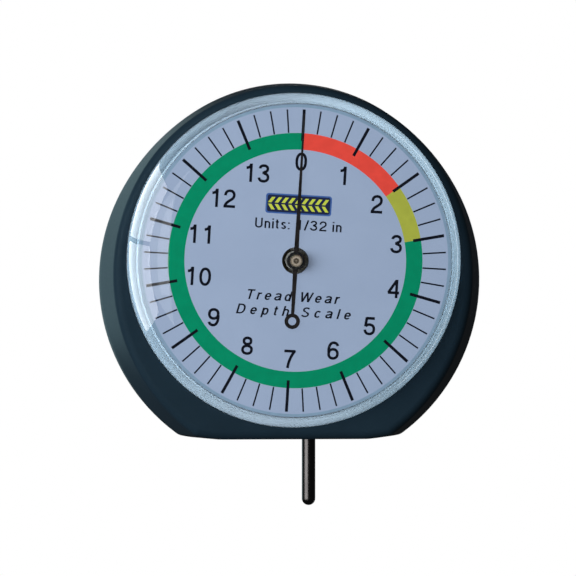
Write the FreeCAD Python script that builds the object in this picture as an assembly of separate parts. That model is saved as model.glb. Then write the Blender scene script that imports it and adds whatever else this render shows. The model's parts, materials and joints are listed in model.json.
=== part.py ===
import FreeCAD, Part
import math
import os

# Dial-type tyre tread depth gauge, in millimetres.
# The gauge stands upright: +Z is up, the dial faces -Y and the probe points down.
# The origin is on the flat foot, straight below the dial's axis and level with the probe in Y.

V = FreeCAD.Vector

# --- Scale and travel ---
INCH = 25.4
FULL_SCALE = 14                     # thirty-seconds of an inch for one turn of the pointer
DIVISION = INCH / 32                # one numbered division of the dial
TRAVEL = FULL_SCALE * DIVISION      # how far the probe stands out of the foot

# --- Stations along Y, from the dial side to the back ---
FACE_Y = -8.0                       # flat front face of the case
WIDEST_Y = 1.0                      # section where the case is widest
JOIN_Y = 7.6                        # joint between case and back cover
BACK_Y = 9.6                        # back face of the back cover
DIAL_Y = -10.6                      # printed face of the dial
LEDGE_Y = -6.2                      # shelf that carries the rim of the dial
CAVITY_Y = -5.0                     # inner side of the case's front wall
PLATE_GAP = 3.6                     # inner faces of the movement plates stand at -/+ this Y
PLATE_T = 1.2

# --- Case outline: a chain of arcs that turns from the top to the foot ---
DIAL_Z = 28.95                       # height of the dial's axis above the foot
BREAKS = (31.5, 62.4, 143.5, 168.0)     # degrees from the top where one arc meets the next
WIDEST_RADII = (28.6, 35.0, 30.85, 2.0)
FACE_RADII = (28.1, 29.0, 32.2, 1.6)
BACK_RADII = (27.6, 33.6, 29.8, 1.6)
CAVITY_RADII = (26.4, 28.0, 29.6, 1.0)
FOOT_WALL = 2.2                     # wall between the foot face and the cavity
FOOT_SKIM = 0.1                     # taken off the rounded foot to leave one true plane
FACE_EDGE_R = 1.4
BACK_EDGE_R = 1.2
WIDEST_EDGE_R = 8.0

# --- Crystal and dial ---
CRYSTAL_R = 27.0
CRYSTAL_BORE = 25.2
CRYSTAL_SHOULDER = 5.5
CRYSTAL_TOP_Y = -15.0
CRYSTAL_DOME_R = 165.0
CRYSTAL_T = 1.6
CRYSTAL_INNER_FILLET = 1.5
POCKET_CLEARANCE = 0.05
DIAL_T = 0.5
DIAL_R = 24.95
DIAL_HOLE_R = 2.15
DIAL_CLOCK = 3.4                    # the dial and the pointer's zero are turned this far clockwise
FLANGE_T = 0.4
FLANGE_R = 26.95
CASE_BORE = 24.5

# --- Rack and pinion: one tooth for each division of the dial ---
MODULE = DIVISION / math.pi
PITCH_R = FULL_SCALE * MODULE / 2
PRESSURE = math.radians(20)
BACKLASH = 0.04
TOOTH = DIVISION / 2 - BACKLASH     # tooth thickness on the pitch line
RACK_TIP = 0.8 * MODULE
RACK_ROOT = 1.25 * MODULE
PINION_TIP = 1.0 * MODULE
PINION_ROOT = 1.05 * MODULE
PINION_HALF = 1.5                   # half the pinion's face width
GAPS_BELOW = 16                     # rack gaps below and above the one in mesh at rest
GAPS_ABOVE = 2
RACK_FLAT_END = 0.7                 # the rack's flat runs on this far past its end gaps, in divisions
FLANK_POINTS = 5                    # points along the involute of each pinion flank

# --- Spindle and probe ---
SPINDLE_X = 3.0
SPINDLE_R = 1.6
SPINDLE_LOW = 6.85
SPINDLE_TOP = 39.6
PROBE_R = 1.1
SPIGOT_R = 0.7
SPIGOT_TOP = 12.0
SPINDLE_CHAMFER = 0.3
RUNNING = 0.03                      # radial clearance of a running fit
BOSS_R = 4.2
BOSS_TOP = 5.2
BUSH_R = 2.2
BUSH_LOW = 0.4
BUSH_FLANGE_R = 3.4
BUSH_TOP = 6.0
BUMPER_R = 3.2
BUMPER_BORE_R = 1.2
BUMPER_TOP = 6.8
GUIDE_LOW = 32.9
GUIDE_TOP = 35.3
GUIDE_R = 2.2
GUIDE_BRIDGE_HALF = 1.8

# --- Cross pin, its slotted guide and the return spring ---
PIN_Z = 37.2
PIN_R = 0.5
PIN_X = (2.2, 10.4)
CHANNEL_X = (5.4, 7.2)
CHANNEL_Z = (35.6, 49.9)
CHANNEL_Y = 2.0
SLOT_HALF = PIN_R + RUNNING
END_GAP = 0.05
SPRING_X = 9.0
SPRING_POST_Z = 18.7
SPRING_POST_R = 0.6
SPRING_WIRE_R = 0.18
SPRING_R = 1.0
SPRING_TURNS = 14
SPRING_EYE_R = 0.9
SPRING_LEAD = 1.9                   # from the middle of an eye to the coil

# --- Arbor, pointer and hairspring ---
ARBOR_R = 0.6
PIVOT_R = 0.4
ARBOR_FRONT_Y = -12.1
ARBOR_BACK_Y = 5.0
BUSH_WALL_R = 1.5
FRONT_BUSH_Y = -8.6
BUSH_HEAD_R = 2.4
BUSH_HEAD_T = 0.6
POINTER_Y = (-11.6, -11.35)
POINTER_TIP = 23.5
POINTER_TAIL = 9.7
POINTER_HALF = 0.39
TIP_HALF = 0.1
TIP_BEVEL = 0.3
TAIL_HALF = 0.26
RING_R = 1.24
RING_HOLE = 0.64
RING_OVERLAP = 0.2                  # how far the tail runs into the ring
POINTER_EYE_R = 1.35
BOSS_Y = (-11.95, -11.0)            # front and back of the pointer's boss
BOSS_FRONT_R = 1.45
BOSS_NECK_R = 0.9
BOSS_BACK_R = 1.2
CAP_R = 1.03
CAP_Y = -12.5
DIMPLE_R = 0.45
DIMPLE_DEPTH = 0.12
CAP_CHAMFER = 0.15
COLLET_R = 1.1
COLLET_Y = (2.5, 3.2)
HAIR_Y = (2.7, 3.1)
HAIR_START = 1.15
HAIR_END = 5.2
HAIR_TURNS = 5
HAIR_POINTS = 24                    # points for each turn of the spiral
HAIR_T = 0.12
STUD_R = 0.5

# --- Movement plates, pillars and screws ---
PLATE_R = 20.0
PLATE_HALF = 15.0
PLATE_LOW = -12.5
PILLARS = ((12.6, 6.5), (-12.6, 6.5), (-12.6, -6.5), (12.6, -6.5))
PILLAR_R = 1.5
EARS = ((24.2, 2.0), (-24.2, 2.0), (-9.0, -22.6))
EAR_R = 2.6
EAR_BOSS_R = 3.2
COVER_BOSSES = ((17.9, 17.9), (-17.9, 17.9), (-19.0, -20.0), (19.0, -20.0))
COVER_BOSS_R = 2.6
WINDOW_R = 3.4
WINDOWS = ((-7.2, 12.0), (-7.2, -6.0))
SCREW_R = 1.0
HEAD_R = 1.8
HEAD_T = 1.1
SCREW_DEPTH = 5.0
PILLAR_SCREW_R = 0.7
PILLAR_HEAD_R = 1.4
PILLAR_HEAD_T = 0.8
PILLAR_SCREW_DEPTH = 2.4
SLOT_DEPTH = 0.5                    # a screw slot's depth, as a share of the head's height
SLOT_WIDTH = 0.14                   # half the slot's width, as a share of the head's radius
HEAD_ROUND = 0.4                    # rounding of a head's rim, as a share of its height
COVER_RECESS = 1.2
COVER_HEAD_R = 1.9
HEAD_CLEARANCE = 0.15

# --- Blocks that are only used to cut with ---
ALL_X = (-40, 40)
ALL_Z = (-5, 70)


def save(shape, name):
    shape = shape.removeSplitter()
    if not shape.isValid() or shape.Volume <= 0:
        raise RuntimeError(name + " is not a valid solid")
    shape.exportStep(os.path.join("parts", name + ".step"))


def normal(degrees):
    """Unit vector in the XZ plane, turned clockwise from +Z."""
    angle = math.radians(degrees)
    return V(math.sin(angle), 0, math.cos(angle))


def rod_y(radius, y0, y1, x=0.0, z=0.0):
    """Cylinder along Y; z is measured from the dial's axis."""
    return Part.makeCylinder(radius, y1 - y0, V(x, y0, DIAL_Z + z), V(0, 1, 0))


def tube_y(outer, inner, y0, y1, x=0.0, z=0.0):
    return rod_y(outer, y0, y1, x, z).cut(rod_y(inner, y0, y1, x, z))


def rod_z(radius, z0, z1, x=SPINDLE_X, y=0.0):
    return Part.makeCylinder(radius, z1 - z0, V(x, y, z0))


def block(x, y, z):
    return Part.makeBox(x[1] - x[0], y[1] - y[0], z[1] - z[0], V(x[0], y[0], z[0]))


def plate_of(wire, y0, y1):
    """Extrude a closed wire in the XZ plane from y0 to y1."""
    wire.translate(V(0, y0, 0))
    return Part.Face(wire).extrude(V(0, y1 - y0, 0))


def polygon(points):
    corners = [V(x, 0, z) for x, z in points]
    return Part.makePolygon(corners + corners[:1])


def turned(points):
    """Solid of revolution about the dial's axis, from (radius, y) corners."""
    face = Part.Face(Part.makePolygon([V(r, y, DIAL_Z) for r, y in points + points[:1]]))
    return face.revolve(V(0, 0, DIAL_Z), V(0, 1, 0), 360)


# --- Case ---

def arc_chain(radii, foot):
    """Right half of the outline as (centre, radius, from, to), down to the foot plane."""
    centre = V(0, 0, DIAL_Z)
    chain = []
    start = 0.0
    for radius, following, end in zip(radii, radii[1:], BREAKS):
        chain.append((centre, radius, start, end))
        centre = centre + normal(end) * (radius - following)
        start = end
    corner = radii[-1]
    chain.append((centre, corner, start, BREAKS[-1]))
    lean = normal(BREAKS[-1])
    # The last arc meets the foot at right angles to Z, which fixes its radius.
    last = (centre.z + lean.z * corner - foot) / (1 + lean.z)
    centre = centre + lean * (corner - last)
    chain.append((centre, last, BREAKS[-1], 180.0))
    return chain


def outline(radii, foot, y):
    """Closed outline at one Y, the same arcs on both sides and a flat foot."""
    edges = []
    chain = arc_chain(radii, foot)
    for centre, radius, start, end in chain:
        points = [centre + normal(a) * radius for a in (start, (start + end) / 2, end)]
        edges.append(Part.Arc(*points).toShape())
    foot_end = edges[-1].Vertexes[-1].Point
    mirror = Part.Wire(edges).mirror(V(0, 0, 0), V(1, 0, 0))
    flat = Part.makeLine(foot_end, V(-foot_end.x, 0, foot_end.z))
    edges.append(flat)
    edges.extend(mirror.Edges)
    wire = Part.Wire(Part.__sortEdges__(edges))
    wire.translate(V(0, y, 0))
    return wire


def edges_at(shape, y):
    return [e for e in shape.Edges if all(abs(v.Y - y) < 1e-4 for v in e.Vertexes)
            and abs(e.CenterOfMass.y - y) < 1e-4]


def hull():
    """The case and its back cover as one block, with rounded front and back edges."""
    face = outline(FACE_RADII, -FOOT_SKIM, FACE_Y)
    widest = outline(WIDEST_RADII, -FOOT_SKIM, WIDEST_Y)
    rear = outline(BACK_RADII, -FOOT_SKIM, BACK_Y)
    body = Part.makeLoft([face, widest], True, True).fuse(Part.makeLoft([widest, rear], True, True))
    body = body.removeSplitter()
    body = body.makeFillet(WIDEST_EDGE_R, edges_at(body, WIDEST_Y))
    body = body.makeFillet(FACE_EDGE_R, edges_at(body, FACE_Y))
    body = body.makeFillet(BACK_EDGE_R, edges_at(body, BACK_Y))
    return body.cut(block(ALL_X, (FACE_Y - 1, BACK_Y + 1), (ALL_Z[0], 0)))


def cavity():
    return plate_of(outline(CAVITY_RADII, FOOT_WALL, 0), CAVITY_Y, JOIN_Y)


def case_bosses(inside):
    """Posts inside the case for the movement, the cover screws and the probe's bush."""
    posts = [rod_y(EAR_BOSS_R, CAVITY_Y, PLATE_GAP, x, z) for x, z in EARS]
    posts += [rod_y(COVER_BOSS_R, CAVITY_Y, JOIN_Y, x, z) for x, z in COVER_BOSSES]
    posts.append(rod_z(BOSS_R, FOOT_WALL / 2, BOSS_TOP))
    solid = posts[0].multiFuse(posts[1:])
    return solid.common(inside.fuse(rod_z(BOSS_R, FOOT_WALL / 2, BOSS_TOP)))


def screw_holes():
    holes = [rod_y(SCREW_R, PLATE_GAP - SCREW_DEPTH, PLATE_GAP, x, z) for x, z in EARS]
    holes += [rod_y(SCREW_R, JOIN_Y - SCREW_DEPTH, JOIN_Y, x, z) for x, z in COVER_BOSSES]
    return holes[0].multiFuse(holes[1:])


def case_body(whole):
    behind = block(ALL_X, (JOIN_Y, BACK_Y + 1), ALL_Z)
    inside = cavity()
    body = whole.cut(behind).cut(inside).fuse(case_bosses(inside))
    body = body.cut(rod_y(CASE_BORE, FACE_Y - 1, CAVITY_Y))
    body = body.cut(rod_y(CRYSTAL_R + POCKET_CLEARANCE, FACE_Y - 1, LEDGE_Y))
    body = body.cut(rod_z(BUSH_R, -1, BOSS_TOP + 1))
    return body.cut(screw_holes())


def back_cover(whole):
    before = block(ALL_X, (FACE_Y - 1, JOIN_Y), ALL_Z)
    cover = whole.cut(before)
    for x, z in COVER_BOSSES:
        cover = cover.cut(rod_y(SCREW_R + HEAD_CLEARANCE, JOIN_Y, BACK_Y, x, z))
        cover = cover.cut(rod_y(COVER_HEAD_R + HEAD_CLEARANCE, BACK_Y - COVER_RECESS, BACK_Y, x, z))
    return cover


# --- Crystal and dial ---

def crystal_profile(radius, shoulder, top, rim):
    """Half section of a domed cap, from the axis to its rim, as connected edges."""
    dome_centre = top + CRYSTAL_DOME_R - (CRYSTAL_TOP_Y - top)
    dome_r = dome_centre - top
    # The shoulder touches the side wall at its radius and the dome from inside.
    arc_x = radius - shoulder
    arc_y = dome_centre - math.sqrt((dome_r - shoulder) ** 2 - arc_x ** 2)
    lean = math.asin(arc_x / (dome_r - shoulder))
    axis = V(0, top, DIAL_Z)
    half = V(dome_r * math.sin(lean / 2), dome_centre - dome_r * math.cos(lean / 2), DIAL_Z)
    meet = V(dome_r * math.sin(lean), dome_centre - dome_r * math.cos(lean), DIAL_Z)
    turn = (math.pi / 2 + lean) / 2
    knee = V(arc_x + shoulder * math.sin(turn), arc_y - shoulder * math.cos(turn), DIAL_Z)
    side = V(radius, arc_y, DIAL_Z)
    foot = V(radius, rim, DIAL_Z)
    return [Part.Arc(axis, half, meet).toShape(), Part.Arc(meet, knee, side).toShape(),
            Part.makeLine(side, foot)], axis, foot


def crystal():
    """Clear cap: gently domed front, rounded shoulder and a wall that stands in the case."""
    rim = LEDGE_Y - FLANGE_T
    outer, outer_axis, outer_foot = crystal_profile(CRYSTAL_R, CRYSTAL_SHOULDER, CRYSTAL_TOP_Y, rim)
    inner, inner_axis, inner_foot = crystal_profile(
        CRYSTAL_BORE, CRYSTAL_INNER_FILLET, CRYSTAL_TOP_Y + CRYSTAL_T, rim)
    ends = [Part.makeLine(outer_axis, inner_axis), Part.makeLine(outer_foot, inner_foot)]
    section = Part.Face(Part.Wire(Part.__sortEdges__(outer + inner + ends)))
    return section.revolve(V(0, 0, DIAL_Z), V(0, 1, 0), 360)


def dial_plate():
    """Pressed pan: flat printed face, a skirt, and a flange that the crystal clamps."""
    return turned([(DIAL_HOLE_R, DIAL_Y), (DIAL_R, DIAL_Y), (DIAL_R, LEDGE_Y - FLANGE_T),
                   (FLANGE_R, LEDGE_Y - FLANGE_T), (FLANGE_R, LEDGE_Y),
                   (DIAL_R - DIAL_T, LEDGE_Y), (DIAL_R - DIAL_T, DIAL_Y + DIAL_T),
                   (DIAL_HOLE_R, DIAL_Y + DIAL_T)])


# --- Movement frame ---

def plate(y0):
    disc = rod_y(PLATE_R, y0, y0 + PLATE_T)
    kept = block((-PLATE_HALF, PLATE_HALF), (y0, y0 + PLATE_T),
                 (DIAL_Z + PLATE_LOW, DIAL_Z + PLATE_R))
    body = disc.common(kept)
    for x, z in WINDOWS:
        body = body.cut(rod_y(WINDOW_R, y0, y0 + PLATE_T, x, z))
    return body


def front_plate():
    y0 = -PLATE_GAP - PLATE_T
    return plate(y0).cut(rod_y(BUSH_WALL_R, y0, y0 + PLATE_T))


def arm(x, z, y0):
    """Arm of the rear plate, from the middle out to one ear."""
    length = math.hypot(x, z)
    bar = block((-EAR_R, EAR_R), (y0, y0 + PLATE_T), (0, length))
    bar.rotate(V(0, 0, 0), V(0, 1, 0), math.degrees(math.atan2(x, z)))
    bar.translate(V(0, 0, DIAL_Z))
    return bar.fuse(rod_y(EAR_R, y0, y0 + PLATE_T, x, z))


def rear_plate():
    y0 = PLATE_GAP
    body = plate(y0)
    windows = [rod_y(WINDOW_R, y0, y0 + PLATE_T, x, z) for x, z in WINDOWS]
    body = body.multiFuse([arm(x, z, y0) for x, z in EARS]).cut(windows[0].fuse(windows[1]))
    body = body.cut(rod_y(BUSH_WALL_R, y0, y0 + PLATE_T))
    for x, z in EARS:
        body = body.cut(rod_y(SCREW_R, y0, y0 + PLATE_T, x, z))
    for x, z in PILLARS:
        body = body.cut(rod_y(PILLAR_SCREW_R, y0, y0 + PLATE_T, x, z))
    return body


def pillar(x, z):
    body = rod_y(PILLAR_R, -PLATE_GAP, PLATE_GAP, x, z)
    return body.cut(rod_y(PILLAR_SCREW_R, PLATE_GAP - PILLAR_SCREW_DEPTH, PLATE_GAP, x, z))


def screw(x, z, seat, shank_r, depth, head_r, head_t):
    """Slotted pan-head screw whose head stands on y = seat."""
    head = rod_y(head_r, seat, seat + head_t, x, z)
    head = head.makeFillet(head_t * HEAD_ROUND, edges_at(head, seat + head_t))
    slot_half = head_r * SLOT_WIDTH
    slot = block((x - head_r, x + head_r), (seat + head_t * (1 - SLOT_DEPTH), seat + head_t),
                 (DIAL_Z + z - slot_half, DIAL_Z + z + slot_half))
    return head.fuse(rod_y(shank_r, seat - depth, seat, x, z)).cut(slot)


def arbor_bush(length_y, head_y, bore):
    """Flanged bush for the arbor."""
    body = tube_y(BUSH_WALL_R, bore, *length_y)
    return body.fuse(tube_y(BUSH_HEAD_R, bore, *head_y))


# --- Spindle, probe and their guides ---

def lower_bush():
    bore = PROBE_R + RUNNING
    body = rod_z(BUSH_R, BUSH_LOW, BOSS_TOP).fuse(rod_z(BUSH_FLANGE_R, BOSS_TOP, BUSH_TOP))
    return body.cut(rod_z(bore, BUSH_LOW, BUSH_TOP))


def bumper():
    return rod_z(BUMPER_R, BUSH_TOP, BUMPER_TOP).cut(rod_z(BUMPER_BORE_R, BUSH_TOP, BUMPER_TOP))


def upper_guide():
    bridge = block((SPINDLE_X - GUIDE_BRIDGE_HALF, SPINDLE_X + GUIDE_BRIDGE_HALF), (-PLATE_GAP, 0),
                   (GUIDE_LOW, GUIDE_TOP))
    body = rod_z(GUIDE_R, GUIDE_LOW, GUIDE_TOP).fuse(bridge)
    return body.cut(rod_z(SPINDLE_R + RUNNING, GUIDE_LOW, GUIDE_TOP))


def guide_channel():
    """Slotted rail that keeps the spindle from turning and stops it at both ends."""
    body = block(CHANNEL_X, (-PLATE_GAP, CHANNEL_Y), CHANNEL_Z)
    low = PIN_Z - PIN_R - END_GAP
    high = PIN_Z + TRAVEL + PIN_R + END_GAP
    return body.cut(block(CHANNEL_X, (-SLOT_HALF, SLOT_HALF), (low, high)))


def rack_gap(z):
    """Trapezium cut between two rack teeth."""
    tip_x = PITCH_R - RACK_TIP
    root_x = PITCH_R + RACK_ROOT
    tip_half = (DIVISION - TOOTH) / 2 + RACK_TIP * math.tan(PRESSURE)
    root_half = (DIVISION - TOOTH) / 2 - RACK_ROOT * math.tan(PRESSURE)
    wire = polygon([(tip_x, z - tip_half), (root_x, z - root_half),
                    (root_x, z + root_half), (tip_x, z + tip_half)])
    return plate_of(wire, -SPINDLE_R, SPINDLE_R)


def rack_spindle():
    body = rod_z(SPINDLE_R, SPINDLE_LOW, SPINDLE_TOP)
    top = [e for e in body.Edges if abs(e.CenterOfMass.z - SPINDLE_TOP) < 1e-6]
    body = body.makeChamfer(SPINDLE_CHAMFER, top)
    low = DIAL_Z - (GAPS_BELOW + RACK_FLAT_END) * DIVISION
    high = DIAL_Z + (GAPS_ABOVE + RACK_FLAT_END) * DIVISION
    flat = block((0, PITCH_R - RACK_TIP), (-SPINDLE_R, SPINDLE_R), (low, high))
    gaps = [rack_gap(DIAL_Z + k * DIVISION) for k in range(-GAPS_BELOW, GAPS_ABOVE + 1)]
    body = body.cut(flat.multiFuse(gaps))
    body = body.cut(rod_z(SPIGOT_R, SPINDLE_LOW, SPIGOT_TOP))
    return body.cut(cross_pin())


def probe_rod():
    """Plain rod with a domed tip and a spigot that screws into the spindle."""
    tip = -TRAVEL
    body = rod_z(PROBE_R, tip + PROBE_R, SPINDLE_LOW)
    dome = Part.makeSphere(PROBE_R, V(SPINDLE_X, 0, tip + PROBE_R))
    return body.fuse(dome).fuse(rod_z(SPIGOT_R, SPINDLE_LOW, SPIGOT_TOP))


def cross_pin():
    return Part.makeCylinder(PIN_R, PIN_X[1] - PIN_X[0], V(PIN_X[0], 0, PIN_Z), V(1, 0, 0))


# --- Springs ---

def return_spring():
    """Tension spring between a fixed post and the cross pin, with an eye at each end."""
    low = SPRING_POST_Z + SPRING_LEAD
    height = PIN_Z - SPRING_LEAD - low
    helix = Part.makeHelix(height / SPRING_TURNS, height, SPRING_R)
    helix.translate(V(SPRING_X, 0, low))
    ring = Part.makeCircle(SPRING_WIRE_R, V(SPRING_X + SPRING_R, 0, low), V(0, 1, 0))
    coil = Part.Wire(helix.Edges).makePipeShell([Part.Wire(ring)], True, True)
    low_eye = Part.makeTorus(SPRING_EYE_R, SPRING_WIRE_R, V(SPRING_X, 0, SPRING_POST_Z), V(0, 1, 0))
    high_eye = Part.makeTorus(SPRING_EYE_R, SPRING_WIRE_R, V(SPRING_X, 0, PIN_Z), V(1, 0, 0))
    pieces = [low_eye, high_eye]
    for eye_z, coil_z in ((SPRING_POST_Z + SPRING_EYE_R, low), (PIN_Z - SPRING_EYE_R, low + height)):
        start = V(SPRING_X, 0, eye_z)
        end = V(SPRING_X + SPRING_R, 0, coil_z)
        pieces.append(Part.makeCylinder(SPRING_WIRE_R, start.distanceToPoint(end), start, end - start))
        pieces.append(Part.makeSphere(SPRING_WIRE_R, end))
    return coil.multiFuse(pieces)


def spiral_edge(offset):
    """Archimedean spiral about the dial's axis, shifted sideways by the offset."""
    count = HAIR_POINTS * HAIR_TURNS
    points = []
    for k in range(count + 1):
        radius = HAIR_START + HAIR_T / 2 + (HAIR_END - HAIR_START) * k / count + offset
        points.append(V(0, 0, DIAL_Z) + normal(360.0 * HAIR_TURNS * k / count) * radius)
    curve = Part.BSplineCurve()
    curve.interpolate(points)
    return curve.toShape()


def hairspring():
    inner = spiral_edge(-HAIR_T / 2)
    outer = spiral_edge(HAIR_T / 2)
    ends = [Part.makeLine(inner.Vertexes[k].Point, outer.Vertexes[k].Point) for k in (0, -1)]
    wire = Part.Wire(Part.__sortEdges__([inner, outer] + ends))
    return plate_of(wire, *HAIR_Y)


def hairspring_stud():
    """Post on the rear plate that holds the outer end of the hairspring."""
    z = HAIR_END + HAIR_T + STUD_R
    return rod_y(STUD_R, HAIR_Y[0], PLATE_GAP, 0, z)


# --- Arbor and pointer ---

def pinion_flank():
    """(radius, half angle) along one flank: involute above the base circle, radial below."""
    base = PITCH_R * math.cos(PRESSURE)
    involute = math.tan(PRESSURE) - PRESSURE
    half = TOOTH / (2 * PITCH_R)
    tip = PITCH_R + PINION_TIP
    points = [(PITCH_R - PINION_ROOT, half + involute)]
    for k in range(FLANK_POINTS):
        radius = base + (tip - base) * k / (FLANK_POINTS - 1)
        roll = math.sqrt(max((radius / base) ** 2 - 1, 0.0))
        points.append((radius, half + involute - (roll - math.atan(roll))))
    return points


def pinion():
    flank = pinion_flank()
    corners = []
    for tooth in range(FULL_SCALE):
        middle = 2 * math.pi * tooth / FULL_SCALE
        for radius, half in flank:
            corners.append((radius * math.cos(middle - half), radius * math.sin(middle - half)))
        for radius, half in reversed(flank):
            corners.append((radius * math.cos(middle + half), radius * math.sin(middle + half)))
    gear = plate_of(polygon(corners), -PINION_HALF, PINION_HALF)
    gear.translate(V(0, 0, DIAL_Z))
    return gear.cut(rod_y(ARBOR_R, -PINION_HALF, PINION_HALF))


def arbor():
    return rod_y(ARBOR_R, ARBOR_FRONT_Y, COLLET_Y[1]).fuse(rod_y(PIVOT_R, COLLET_Y[1], ARBOR_BACK_Y))


def collet():
    return tube_y(COLLET_R, ARBOR_R, *COLLET_Y)


def pointer():
    """Thin needle with a balancing tail that ends in a ring."""
    tail_top = -POINTER_TAIL + RING_R - RING_OVERLAP
    bevel = POINTER_TIP - TIP_BEVEL
    blade = polygon([(-TIP_HALF, bevel), (0, POINTER_TIP), (TIP_HALF, bevel), (POINTER_HALF, 0),
                     (TAIL_HALF, tail_top), (-TAIL_HALF, tail_top), (-POINTER_HALF, 0)])
    blade.translate(V(0, 0, DIAL_Z))
    body = plate_of(blade, *POINTER_Y).fuse(rod_y(RING_R, *POINTER_Y, 0, -POINTER_TAIL))
    body = body.fuse(rod_y(POINTER_EYE_R, *POINTER_Y))
    body = body.cut(rod_y(RING_HOLE, *POINTER_Y, 0, -POINTER_TAIL))
    body = body.cut(rod_y(BOSS_NECK_R, *POINTER_Y))
    body.rotate(V(0, 0, DIAL_Z), V(0, 1, 0), DIAL_CLOCK)
    return body


def pointer_boss():
    """Black spool riveted through the eye of the needle."""
    body = tube_y(BOSS_FRONT_R, ARBOR_R, BOSS_Y[0], POINTER_Y[0])
    body = body.fuse(tube_y(BOSS_NECK_R, ARBOR_R, *POINTER_Y))
    return body.fuse(tube_y(BOSS_BACK_R, ARBOR_R, POINTER_Y[1], BOSS_Y[1]))


def pointer_cap():
    """Turned cap pressed on the end of the arbor, with a dimple in its middle."""
    cap = turned([(0, CAP_Y + DIMPLE_DEPTH), (DIMPLE_R, CAP_Y), (CAP_R - CAP_CHAMFER, CAP_Y),
                  (CAP_R, CAP_Y + CAP_CHAMFER), (CAP_R, BOSS_Y[0]), (0, BOSS_Y[0])])
    return cap.cut(rod_y(ARBOR_R, ARBOR_FRONT_Y, BOSS_Y[0]))


def main():
    os.makedirs("parts", exist_ok=True)
    whole = hull()
    save(case_body(whole), "case_body")
    save(back_cover(whole), "back_cover")
    save(crystal(), "crystal")
    save(dial_plate(), "dial_plate")
    save(front_plate(), "movement_front_plate")
    save(rear_plate(), "movement_rear_plate")
    for number, (x, z) in enumerate(PILLARS, 1):
        save(pillar(x, z), "movement_pillar_%d" % number)
        save(screw(x, z, PLATE_GAP + PLATE_T, PILLAR_SCREW_R, PLATE_T + PILLAR_SCREW_DEPTH,
                   PILLAR_HEAD_R, PILLAR_HEAD_T), "pillar_screw_%d" % number)
    for number, (x, z) in enumerate(EARS, 1):
        save(screw(x, z, PLATE_GAP + PLATE_T, SCREW_R, PLATE_T + SCREW_DEPTH, HEAD_R, HEAD_T),
             "mount_screw_%d" % number)
    for number, (x, z) in enumerate(COVER_BOSSES, 1):
        save(screw(x, z, BACK_Y - COVER_RECESS, SCREW_R, BACK_Y - COVER_RECESS - JOIN_Y + SCREW_DEPTH,
                   COVER_HEAD_R, HEAD_T), "cover_screw_%d" % number)
    front_y = -PLATE_GAP - PLATE_T
    save(arbor_bush((FRONT_BUSH_Y, -PLATE_GAP), (front_y - BUSH_HEAD_T, front_y),
                    ARBOR_R + RUNNING), "front_arbor_bush")
    rear_y = PLATE_GAP + PLATE_T
    save(arbor_bush((PLATE_GAP, rear_y), (rear_y, rear_y + BUSH_HEAD_T),
                    PIVOT_R + RUNNING), "rear_arbor_bush")
    save(lower_bush(), "lower_spindle_bush")
    save(bumper(), "stop_bumper")
    save(upper_guide(), "upper_spindle_guide")
    save(guide_channel(), "guide_channel")
    save(rod_y(SPRING_POST_R, -PLATE_GAP, SPRING_R, SPRING_X, SPRING_POST_Z - DIAL_Z),
         "return_spring_post")
    save(return_spring(), "return_spring")
    save(hairspring(), "hairspring")
    save(hairspring_stud(), "hairspring_stud")
    save(rack_spindle(), "rack_spindle")
    save(probe_rod(), "probe_rod")
    save(cross_pin(), "guide_pin")
    save(arbor(), "arbor")
    save(pinion(), "pinion")
    save(collet(), "hairspring_collet")
    save(pointer(), "pointer")
    save(pointer_boss(), "pointer_boss")
    save(pointer_cap(), "pointer_cap")


main()
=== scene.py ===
"""Dial gauge for tyre tread depth: looks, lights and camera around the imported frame."""

import json
import math

import bpy
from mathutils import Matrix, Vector

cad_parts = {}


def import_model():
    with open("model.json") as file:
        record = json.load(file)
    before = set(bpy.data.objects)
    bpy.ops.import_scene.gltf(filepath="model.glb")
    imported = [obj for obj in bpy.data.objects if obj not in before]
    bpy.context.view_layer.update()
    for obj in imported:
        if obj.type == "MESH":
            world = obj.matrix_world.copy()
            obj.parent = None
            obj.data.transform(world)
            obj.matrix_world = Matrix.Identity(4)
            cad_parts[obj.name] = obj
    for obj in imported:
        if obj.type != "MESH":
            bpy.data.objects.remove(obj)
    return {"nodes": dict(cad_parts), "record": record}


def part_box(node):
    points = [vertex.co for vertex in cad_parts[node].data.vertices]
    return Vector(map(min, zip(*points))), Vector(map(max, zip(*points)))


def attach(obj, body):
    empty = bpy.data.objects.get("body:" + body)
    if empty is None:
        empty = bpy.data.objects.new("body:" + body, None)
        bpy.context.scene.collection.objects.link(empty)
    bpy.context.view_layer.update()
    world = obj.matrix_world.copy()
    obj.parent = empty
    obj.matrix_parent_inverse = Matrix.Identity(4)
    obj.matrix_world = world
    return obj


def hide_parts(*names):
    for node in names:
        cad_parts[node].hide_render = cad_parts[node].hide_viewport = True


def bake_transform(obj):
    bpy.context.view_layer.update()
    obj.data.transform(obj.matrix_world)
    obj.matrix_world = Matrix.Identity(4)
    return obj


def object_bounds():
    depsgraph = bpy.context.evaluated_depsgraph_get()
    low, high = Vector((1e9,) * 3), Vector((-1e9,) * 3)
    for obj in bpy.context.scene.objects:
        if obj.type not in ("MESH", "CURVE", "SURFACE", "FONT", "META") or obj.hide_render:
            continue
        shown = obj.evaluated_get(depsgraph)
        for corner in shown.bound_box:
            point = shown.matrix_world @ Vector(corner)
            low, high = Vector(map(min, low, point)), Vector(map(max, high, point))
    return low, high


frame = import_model()
CAD_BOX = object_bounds()

MM = 0.001

# --- Places read from the frame ---
DIAL_LOW, DIAL_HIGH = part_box("dial_plate")
CRYSTAL_LOW, CRYSTAL_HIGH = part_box("crystal")
DIAL = Vector((0, DIAL_LOW.y, (DIAL_LOW.z + DIAL_HIGH.z) / 2))   # middle of the printed face

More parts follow.
